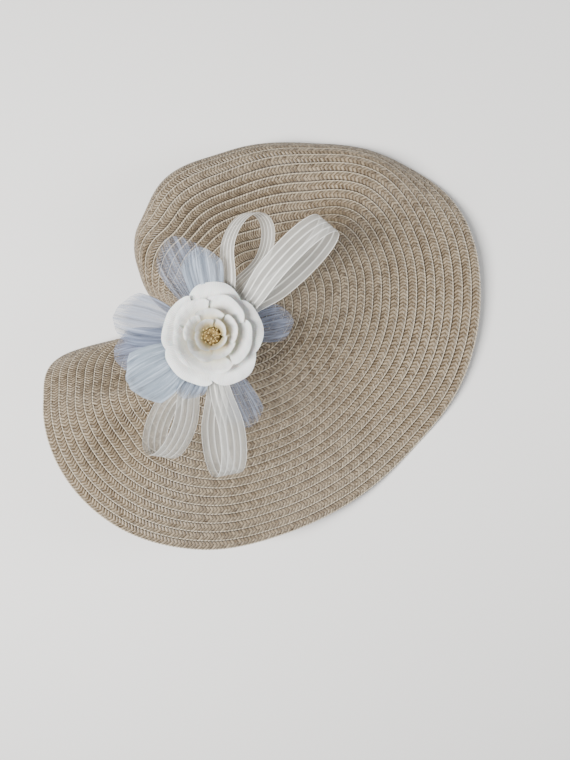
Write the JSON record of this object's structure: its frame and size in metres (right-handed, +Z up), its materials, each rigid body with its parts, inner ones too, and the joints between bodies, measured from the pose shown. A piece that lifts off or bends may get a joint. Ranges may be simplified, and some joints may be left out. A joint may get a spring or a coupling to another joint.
{
  "type": "wedding hat",
  "caption": "Wide folded disc hat of stitched straw braid with a silk rose, organza petals and ribbon loops over its pinched side, for wearing tilted on a hair comb.",
  "frame": {"origin": "centre of the hat's resting box, on the surface that its brim stands on", "axes": "+Z up from the surface; +X to the right and +Y to the top of the hat as it is seen from above, with the folded side and its flower to the left"},
  "size_m": [0.3726, 0.3502, 0.1596],
  "materials": {
    "straw_braid": "matte woven straw braid with pale edge threads",
    "rose_silk": "matte ivory silk",
    "blue_organza": "thin pleated dusty blue organza",
    "ivory_ribbon": "semi-sheer ivory ribbon with raised lines",
    "stamen_gold": "golden thread tips",
    "pad_felt": "matte felt",
    "comb_plastic": "smooth brown plastic"
  },
  "bodies": {
    "root": {"straw_disc": "straw_braid", "hair_comb": "comb_plastic", "flower_pad": "pad_felt", "organza_petal_1": "blue_organza", "organza_petal_2": "blue_organza", "organza_petal_3": "blue_organza", "organza_petal_4": "blue_organza", "organza_petal_5": "blue_organza", "organza_petal_6": "blue_organza", "organza_petal_7": "blue_organza", "organza_petal_8": "blue_organza", "ribbon_loop_1": "ivory_ribbon", "ribbon_loop_2": "ivory_ribbon", "ribbon_loop_3": "ivory_ribbon", "ribbon_loop_4": "ivory_ribbon", "rose_stem": "pad_felt", "rose_core": "rose_silk", "rose_stamens": "stamen_gold", "rose_petal_01": "rose_silk", "rose_petal_02": "rose_silk", "rose_petal_03": "rose_silk", "rose_petal_04": "rose_silk", "rose_petal_05": "rose_silk", "rose_petal_06": "rose_silk", "rose_petal_07": "rose_silk", "rose_petal_08": "rose_silk", "rose_petal_09": "rose_silk", "rose_petal_10": "rose_silk", "rose_petal_11": "rose_silk", "rose_petal_12": "rose_silk", "rose_petal_13": "rose_silk", "rose_petal_14": "rose_silk", "rose_petal_15": "rose_silk", "rose_petal_16": "rose_silk", "rose_petal_17": "rose_silk", "rose_petal_18": "rose_silk", "rose_petal_19": "rose_silk"}
  },
  "joints": []
}
